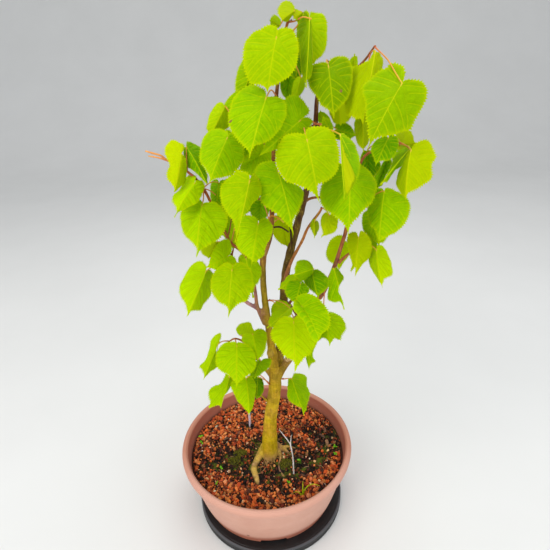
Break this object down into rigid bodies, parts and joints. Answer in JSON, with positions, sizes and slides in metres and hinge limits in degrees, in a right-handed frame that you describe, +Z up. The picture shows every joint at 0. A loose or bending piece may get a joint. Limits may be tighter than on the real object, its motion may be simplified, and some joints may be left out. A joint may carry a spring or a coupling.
{
  "type": "small-leaved lime bonsai in a plant pan",
  "caption": "Young small-leaved lime trained as a bonsai with a forked trunk, rooted in soil in a round plastic plant pan on a flat black disc.",
  "frame": {"origin": "centre of the flat underside of the black disc", "axes": "+Z up along the disc's and the pan's upright axis, +Y to the far side of the tree as pictured, +X to the right"},
  "size_m": [0.2885, 0.2429, 0.6081],
  "materials": {
    "black_disc": "satin black",
    "terracotta_plastic": "matte terracotta-coloured plastic",
    "soil_grains": "crushed baked clay grains with moss",
    "bark": "smooth young bark with an algae tint",
    "label_plastic": "pale lilac plastic",
    "dead_wood": "weathered grey",
    "weed_green": "fresh green",
    "lime_leaf": "fresh yellow-green leaf, satin"
  },
  "bodies": {
    "root": {"display_disc": "black_disc", "plant_pan": "terracotta_plastic", "soil": "soil_grains", "trunk_branches_roots": "bark", "plant_label": "label_plastic", "dead_twig": "dead_wood", "grass_sprig": "weed_green", "leaf_top_front": "lime_leaf", "leaf_top_tip": "lime_leaf", "leaf_top_back": "lime_leaf", "leaf_top_folded": "lime_leaf", "leaf_left_large": "lime_leaf", "leaf_left_behind": "lime_leaf", "leaf_left_mid": "lime_leaf", "leaf_left_inner": "lime_leaf", "leaf_far_left_upper": "lime_leaf", "leaf_far_left_lower": "lime_leaf", "leaf_centre_left": "lime_leaf", "leaf_centre": "lime_leaf", "leaf_centre_low": "lime_leaf", "leaf_centre_dark": "lime_leaf", "leaf_low_left_far": "lime_leaf", "leaf_low_left": "lime_leaf", "leaf_low_left_upper": "lime_leaf", "leaf_inner_left": "lime_leaf", "leaf_centre_right_large": "lime_leaf", "leaf_centre_upper": "lime_leaf", "leaf_right_folded": "lime_leaf", "leaf_far_right_large": "lime_leaf", "leaf_upper_right_folded": "lime_leaf", "leaf_upper_right": "lime_leaf", "leaf_right_upper_small": "lime_leaf", "leaf_far_right_folded": "lime_leaf", "leaf_right_olive": "lime_leaf", "leaf_right_large": "lime_leaf", "leaf_right_lower": "lime_leaf", "leaf_mid_small": "lime_leaf", "leaf_right_bent": "lime_leaf", "leaf_mid_olive": "lime_leaf", "leaf_low_right_top": "lime_leaf", "leaf_low_right_a": "lime_leaf", "leaf_low_right_b": "lime_leaf", "leaf_low_right_large": "lime_leaf", "leaf_low_centre_large": "lime_leaf", "leaf_low_centre_upper": "lime_leaf", "leaf_lowest_right": "lime_leaf", "leaf_lower_left_narrow": "lime_leaf", "leaf_lower_left_large": "lime_leaf", "leaf_lower_left_group": "lime_leaf", "leaf_lowest_centre": "lime_leaf", "leaf_back_top": "lime_leaf", "leaf_back_left": "lime_leaf", "leaf_back_centre": "lime_leaf", "leaf_back_right": "lime_leaf", "leaf_back_centre_left": "lime_leaf", "leaf_back_low_centre": "lime_leaf", "leaf_back_low_left": "lime_leaf", "leaf_back_lower_left": "lime_leaf", "leaf_back_upper_right": "lime_leaf"}
  },
  "joints": []
}
